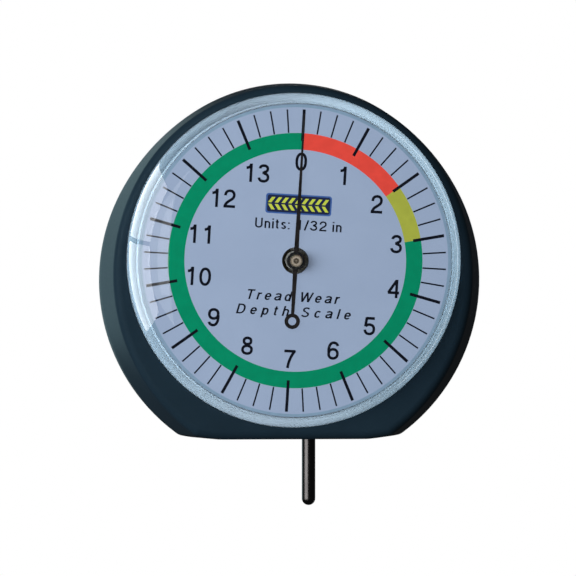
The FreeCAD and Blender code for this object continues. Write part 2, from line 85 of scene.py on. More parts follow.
# --- Dial print, in mm from the dial's axis; angles run clockwise from the 0 mark ---
DIAL_CLOCK = 3.4            # the whole print is turned this far clockwise
DIVISIONS = 14
MARKS_PER_DIVISION = 4
ZONE_INNER = 17.8
ZONE_OUTER = 20.45
ZONE_STEPS = 12             # quads of the coloured ring in a division
MARK_OUTER = 23.95
MINOR_INNER = 20.5
MINOR_WIDTH = 0.25
MAJOR_INNER = 19.2
MAJOR_WIDTH = 0.48
# painted shade: a darker line just inside the pan's edge, where it turns down
EDGE_INNER = 24.35
EDGE_OUTER = 24.93
INK_STEP = 0.012            # each layer of ink stands this much further off the dial
NUMERAL_HEIGHT = 2.95
NUMERAL_GAP = 0.2           # from a numeral to the coloured ring
NUMERAL_SHARE = 0.85        # share of a numeral's width that keeps off the ring
ZERO_GAP = 0.1              # the zero stands nearer to the ring
NUMERAL_TUCK = 0.35         # the numerals' places are squeezed up and down by this much
TENS_SHIFT = 0.3            # the two-digit numerals stand this far to the left
STROKE = 0.15               # stroke of a glyph as a share of its height
GAP = 0.14                  # space between glyphs, as a share of their height

# --- White bands on the pan, seen through the crystal's wall, in mm; their white is partly painted light, and their run from grey to white is painted shade and light ---
RIM_MIDDLE_X = -5.0         # painted shade: their paint is grey about this place, to even out the light
RIM_PAINTED_SHADE_X = 4.0            # up to this far aside
RIM_PAINTED_LIGHT_X = 30.0          # and white out here, painted light where the lamp light is weakest
RIM_STEP = 0.025            # they stand this far off the pan
FLANGE_WIDTH = 2.0          # of the pan, beyond the printed face
LENS_SEGMENTS = 480         # around the crystal, the bands and the edge line

# --- Shared by all the pieces ---
NOISE_LOW = 0.3             # the part of a noise texture's range that is used
NOISE_HIGH = 0.7
SHARP_ANGLE = math.radians(30)


# ---------------------------------------------------------------- materials

def new_material(name):
    """Empty material and its node tree."""
    mat = bpy.data.materials.new(name)
    mat.use_nodes = True
    mat.node_tree.nodes.clear()
    return mat, mat.node_tree


def add(tree, kind, **values):
    """Add a node; values name its properties, or its inputs with spaces as underscores."""
    node = tree.nodes.new(kind)
    for key, value in values.items():
        socket = key.replace("_", " ").title()
        if socket in node.inputs:
            node.inputs[socket].default_value = value
        else:
            setattr(node, key, value)
    return node


def find(tree, kind):
    """The tree's one node of this kind."""
    return next(node for node in tree.nodes if node.type == kind)


def noise(tree, scale, detail=3.0, stretch=(1, 1, 1)):
    """Noise in the piece's own coordinates; scale counts features per metre."""
    place = add(tree, "ShaderNodeTexCoord")
    shape = add(tree, "ShaderNodeMapping", Scale=stretch)
    texture = add(tree, "ShaderNodeTexNoise", scale=scale, detail=detail)
    tree.links.new(place.outputs["Object"], shape.inputs["Vector"])
    tree.links.new(shape.outputs["Vector"], texture.inputs["Vector"])
    return texture.outputs["Fac"]


def map_range(tree, factor, start, end, low, high):
    """Map start to end on low to high."""
    node = add(tree, "ShaderNodeMapRange")
    for key, value in (("From Min", start), ("From Max", end), ("To Min", low), ("To Max", high)):
        node.inputs[key].default_value = value
    tree.links.new(factor, node.inputs["Value"])
    return node.outputs["Result"]


def spread(tree, factor, low, high):
    """Map the used part of a noise texture's range on low to high."""
    return map_range(tree, factor, NOISE_LOW, NOISE_HIGH, low, high)


def two_tone(tree, factor, dark, light):
    """Colour that runs from dark to light over the used part of a noise texture's range."""
    ramp = add(tree, "ShaderNodeValToRGB")
    ramp.color_ramp.elements[0].position = NOISE_LOW
    ramp.color_ramp.elements[0].color = (*dark, 1)
    ramp.color_ramp.elements[1].position = NOISE_HIGH
    ramp.color_ramp.elements[1].color = (*light, 1)
    tree.links.new(factor, ramp.inputs["Fac"])
    return ramp.outputs["Color"]


def finish_shader(tree, shader):
    """Join a shader to a new material output."""
    output = add(tree, "ShaderNodeOutputMaterial")
    tree.links.new(shader.outputs[0], output.inputs["Surface"])


def surface(name, dark, light, rough, patch=400, grain=6000, depth=0.004, stretch=(1, 1, 1),
            **sockets):
    """Principled material: patchy colour and roughness, and a fine grain in relief (depth in mm)."""
    mat, tree = new_material(name)
    shader = add(tree, "ShaderNodeBsdfPrincipled")
    for key, value in sockets.items():
        shader.inputs[key.replace("_", " ")].default_value = value
    patches = noise(tree, patch)
    tree.links.new(two_tone(tree, patches, dark, light), shader.inputs["Base Color"])
    grains = noise(tree, grain, 2.0, stretch)
    tree.links.new(spread(tree, grains, *rough), shader.inputs["Roughness"])
    relief = add(tree, "ShaderNodeBump", distance=depth * MM)
    tree.links.new(grains, relief.inputs["Height"])
    tree.links.new(relief.outputs["Normal"], shader.inputs["Normal"])
    finish_shader(tree, shader)
    return mat


def ink(name, colour):
    """Screen-printed ink, and the painted shade line made the same way: a colour that varies a little,
    and a slight gloss.
    """
    dark = [c * 0.94 for c in colour]
    light = [min(c * 1.05, 1.0) for c in colour]
    return surface(name, dark, light, (0.42, 0.55), patch=900, grain=9000, depth=0.001,
                   Specular_IOR_Level=0.06)


def rim_paint():
    """Matt paint under the crystal's wall, greyer at the top and the bottom of the ring: painted shade
    and light that even out how the lamps light it.
    """
    mat = surface("rim_white_painted_light", (0.36, 0.44, 0.51), (0.66, 0.85, 0.97), (0.4, 0.55),
                  patch=300, grain=8000, depth=0.0, Specular_IOR_Level=0.1)
    tree = mat.node_tree
    # painted shade and light: the colour is grey near RIM_MIDDLE_X and whiter further aside
    place = add(tree, "ShaderNodeTexCoord")
    split = add(tree, "ShaderNodeSeparateXYZ")
    lean = add(tree, "ShaderNodeMath", operation="SUBTRACT")
    lean.inputs[1].default_value = RIM_MIDDLE_X * MM
    aside = add(tree, "ShaderNodeMath", operation="ABSOLUTE")
    tree.links.new(place.outputs["Object"], split.inputs[0])
    tree.links.new(split.outputs["X"], lean.inputs[0])
    tree.links.new(lean.outputs[0], aside.inputs[0])
    share = map_range(tree, aside.outputs[0], RIM_PAINTED_SHADE_X * MM, RIM_PAINTED_LIGHT_X * MM, NOISE_LOW, NOISE_HIGH)
    tree.links.new(share, find(tree, "VALTORGB").inputs["Fac"])
    return mat


def floor_paint():
    """Plain pale paint that is only there from above, so the foot can be looked at from below."""
    mat = surface("floor_paint", (0.78, 0.78, 0.78), (0.82, 0.82, 0.82), (0.8, 0.9),
                  patch=6, grain=400, depth=0.02)
    tree = mat.node_tree
    side = add(tree, "ShaderNodeNewGeometry")
    gone = add(tree, "ShaderNodeBsdfTransparent")
    mix = add(tree, "ShaderNodeMixShader")
    tree.links.new(side.outputs["Backfacing"], mix.inputs[0])
    tree.links.new(find(tree, "BSDF_PRINCIPLED").outputs[0], mix.inputs[1])
    tree.links.new(gone.outputs[0], mix.inputs[2])
    tree.links.new(mix.outputs[0], find(tree, "OUTPUT_MATERIAL").inputs["Surface"])
    return mat


def turned_brass():
    """Brass with the fine rings that a lathe leaves around the dial's axis."""
    mat, tree = new_material("cap_brass")
    shader = add(tree, "ShaderNodeBsdfPrincipled", metallic=1.0)
    place = add(tree, "ShaderNodeTexCoord")
    middle = add(tree, "ShaderNodeMapping", Location=(0, 0, -DIAL.z))
    rings = add(tree, "ShaderNodeTexWave", wave_type="RINGS", rings_direction="Y", scale=520.0,
                distortion=0.5, detail=2.0, phase_offset=math.pi)
    tree.links.new(place.outputs["Object"], middle.inputs["Vector"])
    tree.links.new(middle.outputs["Vector"], rings.inputs["Vector"])
    tree.links.new(two_tone(tree, rings.outputs["Fac"], (0.38, 0.29, 0.20), (0.62, 0.51, 0.39)),
                   shader.inputs["Base Color"])
    tree.links.new(spread(tree, noise(tree, 6000), 0.25, 0.4), shader.inputs["Roughness"])
    relief = add(tree, "ShaderNodeBump", distance=0.01 * MM)
    tree.links.new(rings.outputs["Fac"], relief.inputs["Height"])
    tree.links.new(relief.outputs["Normal"], shader.inputs["Normal"])
    finish_shader(tree, shader)
    return mat


def clear_crystal():
    """Polished clear cap that lets lamp light and soft light straight through."""
    mat, tree = new_material("crystal_clear")
    glass = add(tree, "ShaderNodeBsdfPrincipled")
    for key, value in (("Base Color", (0.97, 0.99, 1.0, 1)), ("IOR", 1.5),
                       ("Transmission Weight", 1.0)):
        glass.inputs[key].default_value = value
    smudge = noise(tree, 90, 4.0)
    tree.links.new(spread(tree, smudge, 0.0, 0.012), glass.inputs["Roughness"])
    through = add(tree, "ShaderNodeBsdfTransparent", color=(0.96, 0.98, 1.0, 1))
    path = add(tree, "ShaderNodeLightPath")
    either = add(tree, "ShaderNodeMath", operation="MAXIMUM")
    tree.links.new(path.outputs["Is Shadow Ray"], either.inputs[0])
    tree.links.new(path.outputs["Is Diffuse Ray"], either.inputs[1])
    mix = add(tree, "ShaderNodeMixShader")
    tree.links.new(either.outputs[0], mix.inputs[0])
    tree.links.new(glass.outputs[0], mix.inputs[1])
    tree.links.new(through.outputs[0], mix.inputs[2])
    finish_shader(tree, mix)
    return mat


def make_materials():
    """Every material by name; colours are linear, and each pair is a patch's dark and light."""
    steel = dict(Metallic=1.0)
    made = {
        "case_plastic": surface("case_plastic", (0.0075, 0.0165, 0.0255), (0.009, 0.0195, 0.030),
                                (0.30, 0.40), patch=120, grain=5200, depth=0.003,
                                Specular_IOR_Level=0.4, Specular_Tint=(0.66, 0.92, 1.0, 1)),
        "cover_plastic": surface("cover_plastic", (0.0095, 0.020, 0.030), (0.012, 0.025, 0.036),
                                 (0.45, 0.6), patch=150, grain=3800, depth=0.012),
        "dial_paint": surface("dial_paint", (0.294, 0.352, 0.470), (0.309, 0.368, 0.488), (0.5, 0.62),
                              patch=160, grain=8000, depth=0.001, Specular_IOR_Level=0.1),
        "rim_white_painted_light": rim_paint(),
        "screw_steel": surface("screw_steel", (0.45, 0.45, 0.44), (0.62, 0.61, 0.58), (0.25, 0.4),
                               patch=900, grain=5000, depth=0.003, **steel),
        "ground_steel": surface("ground_steel", (0.085, 0.080, 0.080), (0.105, 0.10, 0.098),
                                (0.2, 0.32), patch=500, grain=9000, depth=0.001,
                                stretch=(1, 1, 0.05), **steel),
        "spring_steel": surface("spring_steel", (0.25, 0.26, 0.3), (0.4, 0.4, 0.43), (0.25, 0.4),
                                patch=900, grain=5000, depth=0.001, **steel),
        "pointer_black": surface("pointer_black", (0.007, 0.006, 0.006), (0.016, 0.013, 0.012),
                                 (0.3, 0.42), patch=800, grain=9000, depth=0.001,
                                 Specular_IOR_Level=0.15),
        "boss_black": surface("boss_black", (0.006, 0.006, 0.006), (0.011, 0.010, 0.010), (0.25, 0.4),
                              patch=800, grain=9000, depth=0.001),
        "cap_brass": turned_brass(),
        "seam_black": surface("seam_black", (0.002, 0.002, 0.003), (0.004, 0.004, 0.005), (0.6, 0.8)),
        "bumper_rubber": surface("bumper_rubber", (0.01, 0.01, 0.01), (0.02, 0.02, 0.02), (0.7, 0.85)),
        "movement_brass": surface("movement_brass", (0.6, 0.45, 0.22), (0.75, 0.6, 0.34), (0.25, 0.4),
                                  patch=300, grain=4000, depth=0.003, **steel),
        "crystal_clear": clear_crystal(),
        "ink_green": ink("ink_green", (0.0, 0.215, 0.10)),
        "ink_red": ink("ink_red", (0.72, 0.062, 0.042)),
        "ink_yellow": ink("ink_yellow", (0.36, 0.375, 0.05)),
        "ink_black": ink("ink_black", (0.003, 0.004, 0.008)),
        # painted shade for the line at the pan's edge
        "painted_shade_edge": ink("painted_shade_edge", (0.20, 0.29, 0.38)),
        "ink_navy": ink("ink_navy", (0.012, 0.018, 0.05)),
        "ink_blue": ink("ink_blue", (0.045, 0.10, 0.28)),
        "ink_lime": ink("ink_lime", (0.52, 0.56, 0.06)),
    }
    return made


MATERIALS = make_materials()


def give(obj, name):
    """Put one of the materials on a piece."""
    obj.data.materials.clear()
    obj.data.materials.append(MATERIALS[name])


def dress_frame():
    """Give every CAD node its material and smooth its curved faces."""
    for part in frame["record"]["subparts"]:
        node = frame["nodes"][part["node"]]
        give(node, part["material_slot"])
        node.data.shade_smooth()
        node.data.set_sharp_from_angle(angle=SHARP_ANGLE)


# ---------------------------------------------------------------- pieces

def piece(name, points, faces, material, body="case", smooth=False):
    """New mesh piece with its material, its body and its slot; body None leaves it unattached."""
    mesh = bpy.data.meshes.new(name)
    mesh.from_pydata(points, [], faces)
    mesh.validate()
    obj = bpy.data.objects.new(name, mesh)
    bpy.context.scene.collection.objects.link(obj)
    give(obj, material)
    if smooth:
        mesh.shade_smooth()
        mesh.set_sharp_from_angle(angle=SHARP_ANGLE)
    if body:
        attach(obj, body)
    return obj


def on_dial(x, z, layer):
    """Point of the print: x and z in mm from the dial's axis before the print is clocked."""
    turn = math.radians(DIAL_CLOCK)
    right = x * math.cos(turn) + z * math.sin(turn)
    up = z * math.cos(turn) - x * math.sin(turn)
    return DIAL + Vector((right, -INK_STEP * layer, up)) * MM


def polar(radius, degrees):
    """(x, z) at an angle clockwise from straight up."""
    angle = math.radians(degrees)
    return radius * math.sin(angle), radius * math.cos(angle)


def print_shapes(name, shapes, material, layer):
    """One flat piece of ink from polygons given as lists of (x, z) in mm."""
    points = []
    faces = []
    for shape in shapes:
        first = len(points)
        points += [on_dial(x, z, layer) for x, z in shape]
        faces.append(range(first, len(points)))
    piece(name, points, faces, material)


def ring_part(inner, outer, start, end, steps):
    """Quads of a flat ring between two angles in degrees."""
    shapes = []
    for k in range(steps):
        a = start + (end - start) * k / steps
        b = start + (end - start) * (k + 1) / steps
        shapes.append([polar(inner, a), polar(outer, a), polar(outer, b), polar(inner, b)])
    return shapes


def zone(name, start, end, material):
    """Part of the coloured ring, from one numbered division to another."""
    turn = 360 / DIVISIONS
    shapes = ring_part(ZONE_INNER, ZONE_OUTER, start * turn, end * turn, (end - start) * ZONE_STEPS)
    print_shapes(name, shapes, material, 1)


def edge_line():
    """Painted shade: a darker line around the printed face, where the pan turns down."""
    shapes = ring_part(EDGE_INNER, EDGE_OUTER, 0, 360, LENS_SEGMENTS)
    print_shapes("painted_shade_edge_line", shapes, "painted_shade_edge", 1)


def bar(a, b, half):
    """Rectangle along a line, half wide on each side."""
    length = math.hypot(b[0] - a[0], b[1] - a[1])
    nx = (a[1] - b[1]) / length * half
    nz = (b[0] - a[0]) / length * half
    return [(a[0] + nx, a[1] + nz), (b[0] + nx, b[1] + nz),
            (b[0] - nx, b[1] - nz), (a[0] - nx, a[1] - nz)]


def scale_marks():
    """Radial marks, every fourth one longer and wider."""
    shapes = []
    count = DIVISIONS * MARKS_PER_DIVISION
    for k in range(count):
        major = k % MARKS_PER_DIVISION == 0
        inner = MAJOR_INNER if major else MINOR_INNER
        half = (MAJOR_WIDTH if major else MINOR_WIDTH) / 2
        shapes.append(bar(polar(inner, 360 * k / count), polar(MARK_OUTER, 360 * k / count), half))
    print_shapes("print_scale_marks", shapes, "ink_black", 2)


# --- Glyphs: strokes in a box one unit high ---

OVAL_STEP = 9               # degrees of an arc in one quad
CURVE_STEPS = 12
SQUARENESS = 2.2            # of the ovals; 2 is an ellipse


def oval(cx, cz, rx, rz, start, end):
    """Arc of a superellipse; angles in degrees, anticlockwise from +x."""
    steps = max(int(abs(end - start) / OVAL_STEP), 2)
    points = []
    for k in range(steps + 1):
        angle = math.radians(start + (end - start) * k / steps)
        c = math.cos(angle)
        s = math.sin(angle)
        points.append((cx + rx * math.copysign(abs(c) ** (2 / SQUARENESS), c),
                       cz + rz * math.copysign(abs(s) ** (2 / SQUARENESS), s)))
    return points


def curve(a, b, c, d):
    """Cubic Bezier from a to d."""
    points = []
    for k in range(CURVE_STEPS + 1):
        t = k / CURVE_STEPS
        u = 1 - t
        points.append(tuple(u ** 3 * p + 3 * u * u * t * q + 3 * u * t * t * r + t ** 3 * s
                            for p, q, r, s in zip(a, b, c, d)))
    return points


# Each glyph is its width and its strokes, from (0, 0) on the baseline; E is half a stroke.
E = STROKE / 2
SIX_TAIL = oval(0.335, 0.69, 0.235, 0.31 - E, 14, 90) + oval(0.335, 0.5, 0.335 - E, 0.5 - E, 90, 200)
GLYPHS = {
    "0": (0.64, [oval(0.32, 0.5, 0.32 - E, 0.5 - E, 0, 360)]),
    "1": (0.64, [[(0.40, 0), (0.40, 1)],
                 curve((0.14, 0.765), (0.28, 0.765), (0.37, 0.82), (0.385, 0.97))]),
    "2": (0.64, [oval(0.32, 0.69, 0.31 - E, 0.31 - E, 186, 0)
                 + curve((0.63 - E, 0.69), (0.63 - E, 0.40), (0.12, 0.40), (E + 0.005, E))[1:],
                 [(0.0, E), (0.63, E)]]),
    "3": (0.64, [oval(0.31, 0.75, 0.285 - E, 0.25 - E, 178, -90), [(0.24, 0.533), (0.32, 0.533)],
                 oval(0.31, 0.285, 0.32 - E, 0.285 - E, 90, -176)]),
    "4": (0.64, [[(0.47, 0), (0.47, 1)], [(0.0, 0.285), (0.62, 0.285)],
                 [(0.035, 0.29), (0.455, 0.96)]]),
    "5": (0.64, [[(0.115, 1 - E), (0.58, 1 - E)], [(0.145, 0.97), (0.085, 0.47)],
                 oval(0.31, 0.33, 0.32 - E, 0.33 - E, 148, -174)]),
    "6": (0.64, [oval(0.325, 0.32, 0.315 - E, 0.32 - E, 0, 360), SIX_TAIL]),
    "7": (0.64, [[(0.01, 1 - E), (0.62, 1 - E)],
                 curve((0.60, 0.96), (0.42, 0.74), (0.26, 0.38), (0.235, 0.0))]),
    "8": (0.64, [oval(0.32, 0.755, 0.27 - E, 0.245 - E, 0, 360),
                 oval(0.32, 0.285, 0.32 - E, 0.285 - E, 0, 360)]),
    "9": (0.64, [oval(0.315, 0.68, 0.315 - E, 0.32 - E, 0, 360),
                 [(0.64 - x, 1 - z) for x, z in SIX_TAIL]]),
}
LETTERS = {
    ":": (0.12, [[(0.06, 0.0), (0.06, 0.13)], [(0.06, 0.56), (0.06, 0.69)]]),
    "/": (0.30, [[(0.0, -0.02), (0.30, 1.02)]]),
    " ": (0.18, []),
    "D": (0.66, [[(E, 0), (E, 1)],
                 [(E, 1 - E), (0.30, 1 - E)] + oval(0.30, 0.5, 0.36 - E, 0.5 - E, 90, -90) + [(E, E)]]),
    "S": (0.62, [oval(0.31, 0.745, 0.28 - E, 0.255 - E, 20, 270),
                 oval(0.31, 0.27, 0.31 - E, 0.27 - E, 90, -164)]),
    "T": (0.60, [[(0.0, 1 - E), (0.60, 1 - E)], [(0.30, 0), (0.30, 0.96)]]),
    "U": (0.66, [[(E, 1)] + oval(0.33, 0.33, 0.33 - E, 0.33 - E, 180, 360) + [(0.66 - E, 1)]]),
    "W": (0.94, [[(0.03, 1), (0.24, 0.02)], [(0.24, 0.02), (0.47, 0.98)],
                 [(0.47, 0.98), (0.70, 0.02)], [(0.70, 0.02), (0.91, 1)]]),
    "a": (0.54, [oval(0.26, 0.52, 0.20, 0.16, 158, 0) + [(0.46, 0.14), (0.53, 0.04)],
                 oval(0.25, 0.22, 0.25 - E, 0.22 - E, 60, 300) + [(0.46, 0.26)],
                 [(0.28, 0.41), (0.46, 0.43)]]),
    "c": (0.48, [oval(0.26, 0.36, 0.26 - E, 0.36 - E, 40, 320)]),
    "d": (0.52, [oval(0.25, 0.36, 0.25 - E, 0.36 - E, 0, 360), [(0.52 - E, 0), (0.52 - E, 1)]]),
    "e": (0.52, [oval(0.26, 0.36, 0.26 - E, 0.36 - E, 0, 322), [(E, 0.36), (0.52 - E, 0.36)]]),
    "h": (0.50, [[(E, 0), (E, 1)], oval(0.25, 0.46, 0.25 - E, 0.26 - E, 180, 0) + [(0.50 - E, 0)]]),
    "i": (0.12, [[(0.06, 0), (0.06, 0.72)], [(0.06, 0.87), (0.06, 1)]]),
    "l": (0.12, [[(0.06, 0), (0.06, 1)]]),
    "n": (0.50, [[(E, 0), (E, 0.72)], oval(0.25, 0.46, 0.25 - E, 0.26 - E, 180, 0) + [(0.50 - E, 0)]]),
    "p": (0.52, [oval(0.27, 0.36, 0.25 - E, 0.36 - E, 0, 360), [(E, -0.26), (E, 0.72)]]),
    "r": (0.34, [[(E, 0), (E, 0.72)], oval(0.27, 0.42, 0.27 - E, 0.30 - E, 180, 75)]),
    "s": (0.46, [oval(0.23, 0.535, 0.21 - E, 0.185 - E, 15, 270),
                 oval(0.23, 0.195, 0.23 - E, 0.195 - E, 90, -164)]),
    "t": (0.30, [[(0.13, 0.92), (0.13, 0.16)] + oval(0.25, 0.16, 0.12, 0.16 - E, 180, 275),
                 [(0.0, 0.68), (0.28, 0.68)]]),
}
GLYPHS.update(LETTERS)


def ribbon(path, half):
    """Quads along a path, each joint mitred."""
    sides = []
    for k, (x, z) in enumerate(path):
        before = path[max(k - 1, 0)]
        after = path[min(k + 1, len(path) - 1)]
        length = math.hypot(after[0] - before[0], after[1] - before[1])
        nx = (before[1] - after[1]) / length * half
        nz = (after[0] - before[0]) / length * half
        sides.append(((x + nx, z + nz), (x - nx, z - nz)))
    return [[a[0], b[0], b[1], a[1]] for a, b in zip(sides, sides[1:])]


def write(text, x, z, height, gap=GAP, lean=0.0, wide=1.0):
    """Polygons of a centred line of glyphs; x, z and height are in mm, and wide stretches it."""
    widths = [GLYPHS[c][0] for c in text]
    cursor = -(sum(widths) + gap * (len(text) - 1)) / 2
    shapes = []
    for width, c in zip(widths, text):
        for path in GLYPHS[c][1]:
            for quad in ribbon(path, STROKE / 2):
                shapes.append([(x + height * (wide * (cursor + px) + lean * (pz - 0.5)),
                                z + height * (pz - 0.5)) for px, pz in quad])
        cursor += width + gap
    return shapes


def numerals():
    """Upright numbers just inside the coloured ring."""
    shapes = []
    for number in range(DIVISIONS):
        text = str(number)
        side, up = polar(1, number * 360 / DIVISIONS)
        width = (sum(GLYPHS[c][0] + GAP for c in text) - GAP) * NUMERAL_SHARE
        reach = (abs(side) * width + abs(up)) * NUMERAL_HEIGHT / 2
        radius = ZONE_INNER - reach - (NUMERAL_GAP if number else ZERO_GAP)
        shift = TENS_SHIFT if number > 9 else 0
        shapes += write(text, radius * side - shift, (radius - NUMERAL_TUCK) * up, NUMERAL_HEIGHT)
    print_shapes("print_numerals", shapes, "ink_black", 2)


# --- Legend and badge, in mm ---

LEGEND_HEIGHT = 1.6
TITLE_LEAN = 0.24           # slant, and stretch, of the title's glyphs
TITLE_WIDE = 1.25
BADGE_Z = 9.0
BADGE_EDGE = (5.3, 1.6, 0.45)       # half the width, half the height, corner radius
BADGE_PANEL = (5.05, 1.36, 0.32)
BADGE_CORNERS = 6           # steps of a rounded corner
TREAD_BLOCKS = 4            # to each side of the middle one
TREAD_PITCH = 1.08
TREAD_HALF = 0.27           # half a block's width
TREAD_FOOT = (-0.35, 0.12)  # middle of a block's inner end, and of its outer end
TREAD_HEAD = (0.25, 1.0)


def legend():
    """Generic words for the unit and the scale."""
    shapes = write("Units: 1/32 in", 0.15, 5.75, LEGEND_HEIGHT, gap=0.17, wide=1.15)
    shapes += write("Tread Wear", 0.0, -5.75, LEGEND_HEIGHT, gap=0.27, lean=TITLE_LEAN, wide=TITLE_WIDE)
    shapes += write("Depth Scale", 0.3, -8.15, LEGEND_HEIGHT, gap=0.42, lean=TITLE_LEAN, wide=TITLE_WIDE)
    print_shapes("print_legend", shapes, "ink_black", 2)


def rounded(half_x, half_z, radius):
    """Rounded rectangle about the badge's middle, as one polygon."""
    shape = []
    for cx, cz, start in ((1, 1, 0), (-1, 1, 90), (-1, -1, 180), (1, -1, 270)):
        for k in range(BADGE_CORNERS + 1):
            angle = math.radians(start + 90 * k / BADGE_CORNERS)
            shape.append((cx * (half_x - radius) + radius * math.cos(angle),
                          BADGE_Z + cz * (half_z - radius) + radius * math.sin(angle)))
    return shape


def badge():
    """Plain panel with a row of tread blocks."""
    print_shapes("print_badge_edge", [rounded(*BADGE_EDGE)], "ink_blue", 1)
    print_shapes("print_badge_panel", [rounded(*BADGE_PANEL)], "ink_navy", 2)
    blocks = []
    for k in range(-TREAD_BLOCKS, TREAD_BLOCKS + 1):
        for side in (-1, 1):
            (foot_x, foot_z), (head_x, head_z) = [(k * TREAD_PITCH + x, BADGE_Z + side * z)
                                                  for x, z in (TREAD_FOOT, TREAD_HEAD)]
            blocks.append([(foot_x - TREAD_HALF, foot_z), (foot_x + TREAD_HALF, foot_z),
                           (head_x + TREAD_HALF, head_z), (head_x - TREAD_HALF, head_z)])
    print_shapes("print_badge_tread", blocks, "ink_lime", 3)


def band(name, low, high):
    """White band around the pan, partly painted light, between two (radius, y) corners."""
    points = []
    faces = []
    for k in range(LENS_SEGMENTS):
        side, up = polar(1, 360 * k / LENS_SEGMENTS)
        for r, y in (low, high):
            points.append(Vector((r * side, y, r * up)) * MM + Vector((0, 0, DIAL.z)))
        a = 2 * k
        b = 2 * ((k + 1) % LENS_SEGMENTS)
        faces.append((a, a + 1, b + 1, b))
    return piece(name, points, faces, "rim_white_painted_light", smooth=True)


def rim_bands():
    """The pan's skirt and flange are white under the crystal's wall, partly painted light where the
    lamps hardly reach the groove.
    """
    face_r = (DIAL_HIGH.x - DIAL_LOW.x) / 2 / MM - FLANGE_WIDTH
    flange_y = CRYSTAL_HIGH.y / MM - RIM_STEP
    face_y = DIAL.y / MM
    return [band("painted_light_rim_skirt", (face_r + RIM_STEP, face_y), (face_r + RIM_STEP, flange_y)),
            band("painted_light_rim_flange", (face_r + RIM_STEP, flange_y), (face_r + FLANGE_WIDTH, flange_y))]


def dial_print():
    """Everything that is printed on the dial, and the painted shade line at its edge."""
    zone("print_red_zone", 0, 2, "ink_red")
    zone("print_yellow_zone", 2, 3, "ink_yellow")
    zone("print_green_zone", 3, DIVISIONS, "ink_green")
    scale_marks()
    edge_line()
    numerals()
    legend()
    badge()


# --- Crystal, in mm ---

LENS_SHOULDER = 5.5         # radius between the outer dome and the wall
LENS_DOME = 165.0           # radius of the dome
LENS_THICKNESS = 1.6
LENS_BORE = 25.2            # inner radius of the wall
LENS_FILLET = 1.5           # radius between the inner dome and the wall
LENS_SEAT_GAP = 0.06        # from its rim to the pan's flange
DOME_STEPS = 12
SHOULDER_STEPS = 32


def lens_side(radius, shoulder, top, rim, dome):
    """(radius, y) points from the axis over the shoulder down to the rim."""
    centre = top + dome
    arc_x = radius - shoulder
    lean = math.asin(arc_x / (dome - shoulder))
    arc_y = centre - (dome - shoulder) * math.cos(lean)
    points = [(dome * math.sin(lean * k / DOME_STEPS), centre - dome * math.cos(lean * k / DOME_STEPS))
              for k in range(DOME_STEPS + 1)]
    for k in range(1, SHOULDER_STEPS + 1):
        angle = lean + (math.pi / 2 - lean) * k / SHOULDER_STEPS
        points.append((arc_x + shoulder * math.sin(angle), arc_y - shoulder * math.cos(angle)))
    points.append((radius, rim))
    return points


def crystal_lens():
    """Domed clear cap, turned about the dial's axis, in place of the plain CAD one."""
    radius = (CRYSTAL_HIGH.x - CRYSTAL_LOW.x) / 2 / MM
    top = CRYSTAL_LOW.y / MM
    rim = CRYSTAL_HIGH.y / MM - LENS_SEAT_GAP
    outer = lens_side(radius, LENS_SHOULDER, top, rim, LENS_DOME)
    inner = lens_side(LENS_BORE, LENS_FILLET, top + LENS_THICKNESS, rim, LENS_DOME - LENS_THICKNESS)
    section = outer[1:] + inner[:0:-1]
    rows = len(section)
    points = []
    for k in range(LENS_SEGMENTS):
        angle = 2 * math.pi * k / LENS_SEGMENTS
        for r, y in section:
            points.append(Vector((r * MM * math.sin(angle), y * MM,
                                  DIAL.z + r * MM * math.cos(angle))))
    faces = []
    for k in range(LENS_SEGMENTS):
        here = k * rows
        there = (k + 1) % LENS_SEGMENTS * rows
        for j in range(rows - 1):
            faces.append((here + j, there + j, there + j + 1, here + j + 1))
    points.append(Vector((0, outer[0][1] * MM, DIAL.z)))
    points.append(Vector((0, inner[0][1] * MM, DIAL.z)))
    for k in range(LENS_SEGMENTS):
        here = k * rows
        there = (k + 1) % LENS_SEGMENTS * rows
        faces.append((len(points) - 2, there, here))
        faces.append((len(points) - 1, here + rows - 1, there + rows - 1))
    lens = piece("crystal_lens", points, faces, "crystal_clear", smooth=True)
    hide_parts("crystal")
    return lens


# --- Parting line, in mm ---

PARTING_HALF = 0.07         # half its width
PARTING_STANDS = 0.01       # it stands this far off the case
PARTING_STEPS = 240         # around the case
PARTING_NEAR = 0.02         # vertices this near to the cover's front count
PARTING_MIN_R = 24.0        # only the outer edge counts, not the bosses inside


def parting_line():
    """Dark hairline where the back cover meets the case."""
    middle = Vector((0, 0, DIAL.z))
    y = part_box("back_cover")[0].y
    edge = [v.co - middle for v in frame["nodes"]["case_body"].data.vertices
            if abs(v.co.y - y) < PARTING_NEAR * MM]
    sectors = {}
    for point in edge:
        sector = round(math.atan2(point.x, point.z) / (2 * math.pi) * PARTING_STEPS) % PARTING_STEPS
        if math.hypot(point.x, point.z) > math.hypot(*sectors.get(sector, (0, 0))):
            sectors[sector] = (point.x, point.z)
    outline = [sectors[k] for k in sorted(sectors) if math.hypot(*sectors[k]) > PARTING_MIN_R * MM]
    points = []
    faces = []
    for k, (x, z) in enumerate(outline):
        grow = 1 + PARTING_STANDS * MM / math.hypot(x, z)
        for side in (-1, 1):
            points.append(Vector((x * grow, y + side * PARTING_HALF * MM, DIAL.z + z * grow)))
        a = 2 * k
        b = 2 * ((k + 1) % len(outline))
        faces.append((a, a + 1, b + 1, b))
    piece("parting_line", points, faces, "seam_black", smooth=True)


# --- Return spring, in mm ---

SPRING_R = 1.0
SPRING_WIRE_R = 0.18
SPRING_EYE_R = 0.9
SPRING_TURNS = 14
SPRING_LEAD = 1.9           # from an eye's middle to the coil
EYE_STEPS = 32              # around a full eye
EYE_OPEN = 3                # steps left out of an eye where the wire leaves it
COIL_STEPS = 20             # in one turn
WIRE_SIDES = 10


